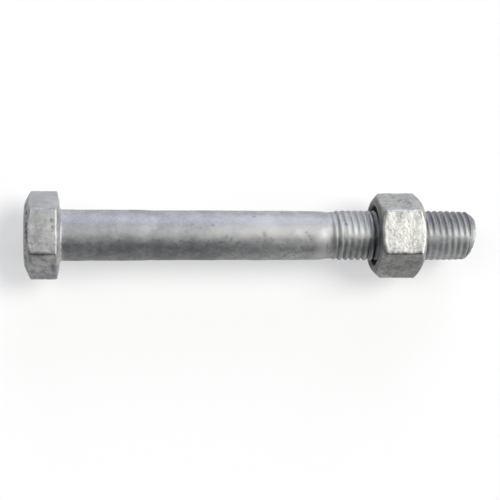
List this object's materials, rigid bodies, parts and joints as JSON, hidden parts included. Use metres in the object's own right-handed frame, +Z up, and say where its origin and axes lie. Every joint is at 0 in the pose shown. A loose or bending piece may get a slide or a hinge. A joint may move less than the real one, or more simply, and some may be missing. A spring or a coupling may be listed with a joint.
{
  "type": "hex bolt with nut",
  "caption": "Hot-dip galvanised hex bolt with a part-threaded shank and a hex nut run onto its thread; clamps timber, steel or fittings together.",
  "frame": {"origin": "on the bolt's axis, in the plane of the face under the head", "axes": "+X along the bolt from the head to the threaded end; +Z up, away from the flats the bolt lies on; +Y across, so that X, Y and Z are right-handed"},
  "size_m": [0.177, 0.0346, 0.03],
  "materials": {
    "bolt_zinc": "hot-dip galvanised zinc: matt to satin grey, faintly mottled, with small drips and pits",
    "nut_zinc": "hot-dip galvanised zinc: brighter, finely sparkling grey; the tapped bore is bare steel"
  },
  "bodies": {
    "bolt": {"bolt": "bolt_zinc"},
    "nut": {"nut": "nut_zinc"}
  },
  "joints": [
    {"name": "nut_travel", "type": "slide", "parent": "bolt", "child": "nut", "axis": [1, 0, 0], "range_m": [-0.0125, 0.045]}
  ]
}
